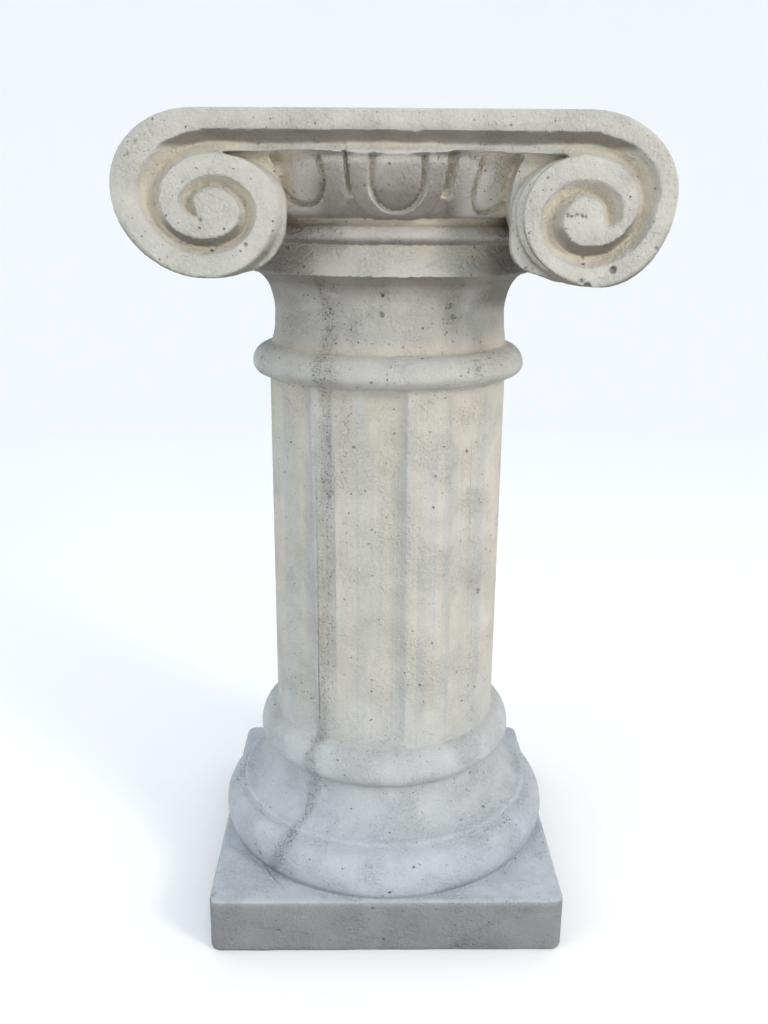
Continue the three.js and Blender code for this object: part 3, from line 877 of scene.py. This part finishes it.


# Painted shade: darkens the colour in sheltered places under the capital, on the neck below the volutes, on
# what faces down and on the plinth's sides
def addPaintedShade(n, place, height, facing, colour):
    c = cement
    axes = n.add("ShaderNodeSeparateXYZ", {"Vector": place})
    sideways = axes.outputs["X"]
    behindFace = n.span(n.maths("ABSOLUTE", axes.outputs["Y"]), 0.128, 0.122)
    # painted shade in sheltered places under the capital
    shelter = n.add("ShaderNodeAttribute", attribute_name="shelter").outputs["Fac"]
    below = n.maths("MULTIPLY", n.span(height, 0.50, 0.54), n.span(height, 0.630, 0.615))
    below = n.maths("MULTIPLY", below, behindFace)
    paintedShade = n.maths("MULTIPLY", n.span(shelter, 0.42, 0.66), below)
    paintedShade = n.maths("MULTIPLY", paintedShade, c["shelterShade"])
    # painted shadow of the volutes on the neck below them
    atRight = n.span(sideways, 0.050, 0.085, 0.0, c["neckRight"])
    atLeft = n.span(sideways, -0.045, -0.080, 0.0, c["neckLeft"])
    onNeck = n.maths("MULTIPLY", n.span(height, 0.545, 0.562), n.span(height, 0.616, 0.606))
    onNeck = n.maths("MULTIPLY", onNeck, behindFace)
    paintedShade = n.maths("MAXIMUM", paintedShade, n.maths("MULTIPLY", n.maths("MAXIMUM", atRight, atLeft), onNeck))
    # painted shade on what faces down, but not on the side eggs
    aside = n.span(n.maths("ABSOLUTE", sideways), 0.048, 0.066, 1.0, 0.0)
    offEggs = n.maths("MAXIMUM", n.span(height, 0.634, 0.620), n.span(height, 0.672, 0.676))
    under = n.span(height, 0.48, 0.56, c["underLow"], c["underHigh"])
    under = n.maths("MULTIPLY", n.span(facing, -0.05, -0.60), under)
    under = n.maths("MULTIPLY", under, n.maths("MAXIMUM", aside, offEggs))
    colour = n.mix(n.maths("MAXIMUM", paintedShade, under), colour, c["shadeColour"])
    # painted shade on the plinth's sides near the ground
    plinthShadeMask = n.maths("MULTIPLY", n.span(height, 0.060, 0.045), n.span(facing, 0.75, 0.35))
    return n.mix(n.maths("MULTIPLY", plinthShadeMask, c["plinthShade"]), colour, c["shadeColour"])


def makeCement():
    c = cement
    material = bpy.data.materials.new("castStone")
    n = Nodes(material)
    place = n.add("ShaderNodeTexCoord").outputs["Object"]
    height = n.add("ShaderNodeSeparateXYZ", {"Vector": place}).outputs["Z"]
    normal = n.add("ShaderNodeNewGeometry").outputs["Normal"]
    facing = n.add("ShaderNodeSeparateXYZ", {"Vector": normal}).outputs["Z"]
    hollow = n.add("ShaderNodeAttribute", attribute_name="hollow").outputs["Fac"]
    seamMark = n.add("ShaderNodeAttribute", attribute_name="seam").outputs["Fac"]
    holeMark = n.add("ShaderNodeAttribute", attribute_name="hole").outputs["Fac"]

    noises = {}
    for name in ("clouds", "blotches", "grit", "grains", "crumbs", "patches"):
        noises[name] = n.add("ShaderNodeTexNoise", {"Vector": place, **c[name]}).outputs["Fac"]

    sunk = n.maths("MULTIPLY", n.span(hollow, 0.515, 0.63), n.span(height, 0.50, 0.60, 0.5, 1.0))
    sunk = n.maths("ADD", sunk, n.span(noises["clouds"], 0.35, 0.7, -0.10, 0.10), clamp=True)
    # painted light: warmer towards the top, as warm lamp light would make it
    colour = n.mix(n.span(height, 0.52, 0.63, 0.0, 0.35), c["raised"], c["warm"])
    colour = n.mix(sunk, colour, c["hollow"])
    # painted light: bluer towards the foot, as cool sky light would make it
    colour = n.mix(n.span(height, 0.26, 0.06), colour, c["low"])
    colour = addPaintedShade(n, place, height, facing, colour)
    mottled = n.span(noises["blotches"], 0.3, 0.7, 0.93, 1.07)
    fine = n.span(noises["grit"], 0.3, 0.72, 0.92, 1.08)
    tone = n.maths("MULTIPLY", mottled, fine)
    colour = n.add("ShaderNodeHueSaturation", {"Color": colour, "Value": tone}).outputs["Color"]

    # air holes, the seam's pits and the larger holes, darkened with painted shade
    warp = n.add("ShaderNodeTexNoise", {"Vector": place, **c["warp"]})
    shaken = n.add("ShaderNodeMix", {"Factor": c["shake"]}, data_type="VECTOR")
    n.tree.links.new(place, shaken.inputs[4])
    n.tree.links.new(warp.outputs["Color"], shaken.inputs[5])
    pores = addDots(n, shaken.outputs[1], c["airHoles"], c["airHoleRim"])
    alongSeam = n.span(seamMark, 0.05, 0.9)
    pits = addDots(n, shaken.outputs[1], c["seamPits"], c["seamPitRim"], alongSeam)
    dark = n.maths("MULTIPLY", n.maths("MAXIMUM", pores, pits), c["dotDark"])
    dark = n.maths("MAXIMUM", dark, n.span(holeMark, 0.35, 0.9, 0.0, c["holeDark"]))
    colour = n.mix(dark, colour, c["shadeColour"])

    # fine relief, with coarser crumbs in patches and along the seam
    crumbly = n.maths("MULTIPLY", noises["crumbs"], n.span(noises["patches"], 0.42, 0.60, 0.3, 2.0))
    alongSeam = n.maths("MULTIPLY", noises["crumbs"], n.maths("MULTIPLY", seamMark, c["seamRise"]))
    relief = n.maths("ADD", crumbly, alongSeam)
    for name, rise in (("grit", "gritRise"), ("grains", "grainRise"), ("blotches", "blotchRise")):
        relief = n.maths("ADD", relief, n.maths("MULTIPLY", noises[name], c[rise]))
    relief = n.maths("SUBTRACT", relief, n.maths("MULTIPLY", dark, c["dotDepth"]))
    bump = n.add("ShaderNodeBump", {"Height": relief, "Strength": 1.0, "Distance": c["reliefHeight"]})

    shader = n.add("ShaderNodeBsdfPrincipled", {"Base Color": colour, "Normal": bump.outputs["Normal"]})
    shader.inputs["Roughness"].default_value = c["roughness"]
    shader.inputs["Specular IOR Level"].default_value = c["shine"]
    n.add("ShaderNodeOutputMaterial", {"Surface": shader.outputs["BSDF"]})
    return material


# Pale floor that curves up into a backdrop all round, a soft sky, a low warm lamp at the right
# and two weak ones in front and at the left
studio = {
    "paper": (0.84, 0.84, 0.84, 1),
    "flatRadius": 2.4,
    "curveRadius": 2.2,
    "top": 4.2,
    "sides": 72,
    "sky": (0.89, 0.945, 1.0, 1),
    "skyStrength": 1.34,
    "lamps": [
        {"name": "key", "place": (1.50, -1.32, 1.40), "size": 0.50, "power": 21, "colour": (1, 0.94, 0.855)},
        {"name": "front", "place": (0.42, -2.30, 1.05), "size": 0.8, "power": 4.8, "colour": (1, 0.97, 0.92)},
        {"name": "fill", "place": (-1.70, -1.05, 1.45), "size": 1.3, "power": 9, "colour": (0.84, 0.92, 1.0)},
    ],
    "aim": (0, 0, 0.5),
}


def plainMaterial(name, colour):
    material = bpy.data.materials.new(name)
    n = Nodes(material)
    shader = n.add("ShaderNodeBsdfPrincipled")
    shader.inputs["Base Color"].default_value = colour
    shader.inputs["Roughness"].default_value = 0.95
    n.add("ShaderNodeOutputMaterial", {"Surface": shader.outputs["BSDF"]})
    return material


def makeStudio():
    s = studio
    curve = s["curveRadius"]
    section = [(0.001, 0)] + arc(s["flatRadius"], curve, curve, curve, -90, 0, 24)
    section += [(s["flatRadius"] + curve, s["top"])]
    corners = []
    for radius, height in section:
        for k in range(s["sides"]):
            angle = math.tau * k / s["sides"]
            corners.append((radius * math.cos(angle), radius * math.sin(angle), height))
    faces = []
    for i in range(len(section) - 1):
        for k in range(s["sides"]):
            here, after = i * s["sides"] + k, i * s["sides"] + (k + 1) % s["sides"]
            faces.append((here, after, after + s["sides"], here + s["sides"]))
    mesh = bpy.data.meshes.new("floor")
    mesh.from_pydata(corners, [], faces)
    mesh.polygons.foreach_set("use_smooth", np.ones(len(faces), bool))
    floor = bpy.data.objects.new("floor", mesh)
    mesh.materials.append(plainMaterial("floorPaper", s["paper"]))
    bpy.context.scene.collection.objects.link(floor)
    world = bpy.data.worlds.new("studio")
    bpy.context.scene.world = world
    world.use_nodes = True
    glow = world.node_tree.nodes["Background"]
    glow.inputs["Color"].default_value = s["sky"]
    glow.inputs["Strength"].default_value = s["skyStrength"]
    for lamp in s["lamps"]:
        data = bpy.data.lights.new(lamp["name"], "AREA")
        data.shape = "DISK"
        data.size = lamp["size"]
        data.energy = lamp["power"]
        data.color = lamp["colour"]
        light = bpy.data.objects.new(lamp["name"], data)
        light.location = lamp["place"]
        away = Vector(lamp["place"]) - Vector(s["aim"])
        light.rotation_euler = away.to_track_quat("Z", "Y").to_euler()
        bpy.context.scene.collection.objects.link(light)
    bpy.context.scene.view_settings.view_transform = "Standard"


makeCamera()
makeStudio()
pedestal = makeCasting()
pedestal.data.materials.append(makeCement())
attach(pedestal, "root")
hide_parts("ionic_pedestal")
print("pedestal finished")
